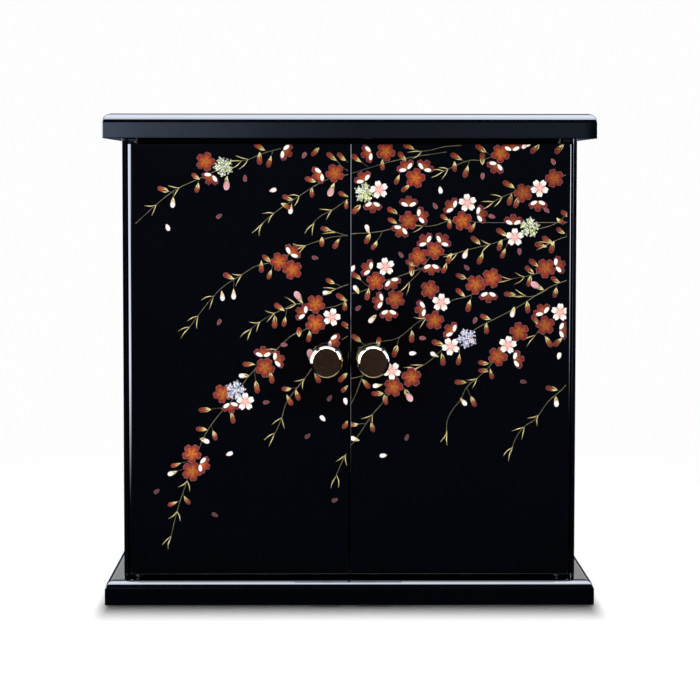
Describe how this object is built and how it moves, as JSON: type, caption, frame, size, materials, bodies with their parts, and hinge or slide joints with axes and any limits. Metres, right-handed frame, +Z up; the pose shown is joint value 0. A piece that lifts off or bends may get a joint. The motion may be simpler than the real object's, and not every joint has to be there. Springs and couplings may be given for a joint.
{
  "type": "miniature buddhist altar",
  "caption": "Small black-lacquered altar cabinet with rounded top and base boards, pivot-hung doors painted with cherry sprays, and turned brass knobs; empty inside.",
  "frame": {"origin": "centre of the base board's underside, which the cabinet stands on", "axes": "+Z up, -Y out of the front with the doors, +X to the right of someone facing the doors"},
  "size_m": [0.3, 0.204, 0.3],
  "materials": {
    "black_lacquer": "polished black lacquer on wood board, mirror gloss",
    "polished_brass": "turned, polished brass",
    "coloured_lacquer": "vermilion, pink and white lacquer picture, polished flush with the black",
    "gold_powder": "gold powder sprinkled on wet lacquer and polished flush",
    "shell_inlay": "mother-of-pearl flakes under clear lacquer"
  },
  "bodies": {
    "cabinet": {"base_board": "black_lacquer", "top_board": "black_lacquer", "side_panel_left": "black_lacquer", "side_panel_right": "black_lacquer", "back_panel": "black_lacquer", "pivot_top_left": "polished_brass", "pivot_top_right": "polished_brass", "pivot_bottom_left": "polished_brass", "pivot_bottom_right": "polished_brass"},
    "left_door": {"door_left": "black_lacquer", "knob_left": "polished_brass"},
    "right_door": {"door_right": "black_lacquer", "knob_right": "polished_brass"}
  },
  "joints": [
    {"name": "left_door_hinge", "type": "hinge", "parent": "cabinet", "child": "left_door", "pos_m": [-0.12948, -0.0835, 0.15], "axis": [0, 0, -1], "range_deg": [0, 105]},
    {"name": "right_door_hinge", "type": "hinge", "parent": "cabinet", "child": "right_door", "pos_m": [0.12948, -0.0835, 0.15], "axis": [0, 0, 1], "range_deg": [0, 105]}
  ]
}
